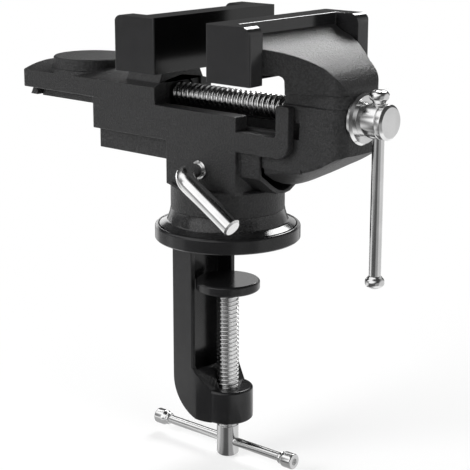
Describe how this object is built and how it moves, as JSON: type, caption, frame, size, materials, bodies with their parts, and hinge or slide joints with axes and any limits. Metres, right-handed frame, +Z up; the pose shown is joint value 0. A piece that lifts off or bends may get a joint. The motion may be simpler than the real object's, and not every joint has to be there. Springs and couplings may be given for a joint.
{
  "type": "table clamp vise",
  "caption": "Small bench vise with padded jaws and a round anvil, on a swivel base that clamps to a table edge.",
  "frame": {"origin": "on the swivel axis, in the plane of the table that the round base sits on", "axes": "+Z up; +X along the main screw towards its sliding handle; +Y away from the lock lever"},
  "size_m": [0.2072, 0.08, 0.2089],
  "materials": {
    "black_casting": "textured black coating on cast metal",
    "black_frame": "smooth glossy black coating on cast metal",
    "black_pad": "smooth glossy black",
    "bright_chrome": "bright plated steel",
    "bare_steel": "machined steel",
    "blackened_steel": "blackened steel",
    "brass": "machined brass",
    "magnet": "plated magnet",
    "friction_plastic": "matt dark plastic"
  },
  "bodies": {
    "base": {"clamp_frame": "black_frame", "swivel_post": "bare_steel", "post_screw": "bare_steel", "friction_washer": "friction_plastic"},
    "body": {"vise_body": "black_casting", "fixed_jaw_pad": "black_pad", "fixed_pad_magnets": "magnet", "screw_nut": "blackened_steel", "nut_pin": "bare_steel", "lock_washer": "friction_plastic"},
    "jaw": {"moving_jaw": "black_casting", "moving_jaw_pad": "black_pad", "moving_pad_magnets": "magnet", "slide_end_plate": "black_casting", "slide_end_screws": "bare_steel", "thrust_washer": "bare_steel"},
    "screw": {"main_screw": "bright_chrome", "screw_collar": "bright_chrome", "retaining_ring": "bare_steel"},
    "handle": {"handle_rod": "bright_chrome", "handle_knob_top": "bright_chrome", "handle_knob_bottom": "bright_chrome"},
    "tip": {"lock_tip": "brass"},
    "lever": {"lock_lever": "bright_chrome"},
    "disc": {"pressure_disc": "black_frame"},
    "clamp_screw": {"clamp_screw": "bright_chrome", "disc_ring": "bare_steel"},
    "cross_bar": {"t_bar": "bright_chrome", "t_bar_knob_left": "bright_chrome", "t_bar_knob_right": "bright_chrome"}
  },
  "joints": [
    {"name": "body_swivel", "type": "hinge", "parent": "base", "child": "body", "pos_m": [0, 0, 0.006], "axis": [0, 0, 1], "continuous": true},
    {"name": "jaw_slide", "type": "slide", "parent": "body", "child": "jaw", "axis": [1, 0, 0], "range_m": [-0.0296, 0.025]},
    {"name": "main_screw_turn", "type": "hinge", "parent": "jaw", "child": "screw", "pos_m": [0.0834, 0, 0.0635], "axis": [1, 0, 0], "range_deg": [-3553, 3001]},
    {"name": "handle_slide", "type": "slide", "parent": "screw", "child": "handle", "axis": [0, 0, 1], "range_m": [0, 0.0581]},
    {"name": "lock_tip_slide", "type": "slide", "parent": "body", "child": "tip", "axis": [0, -1, 0], "range_m": [0, 0.00069]},
    {"name": "lock_lever_turn", "type": "hinge", "parent": "tip", "child": "lever", "pos_m": [0, -0.015, 0.0342], "axis": [0, -1, 0], "range_deg": [0, 199]},
    {"name": "clamp_slide", "type": "slide", "parent": "base", "child": "disc", "axis": [0, 0, 1], "range_m": [-0.036, 0.0074]},
    {"name": "clamp_screw_turn", "type": "hinge", "parent": "disc", "child": "clamp_screw", "pos_m": [0, 0, -0.06], "axis": [0, 0, 1], "range_deg": [-6481, 1333]},
    {"name": "cross_bar_slide", "type": "slide", "parent": "clamp_screw", "child": "cross_bar", "axis": [1, 0, 0], "range_m": [-0.0269, 0.032]}
  ],
  "couplings": [
    {"joint": "main_screw_turn", "follows": "jaw_slide", "rad_per_m": 2094.4},
    {"joint": "lock_lever_turn", "follows": "lock_tip_slide", "rad_per_m": 5026.5},
    {"joint": "clamp_screw_turn", "follows": "clamp_slide", "rad_per_m": 3141.6}
  ]
}
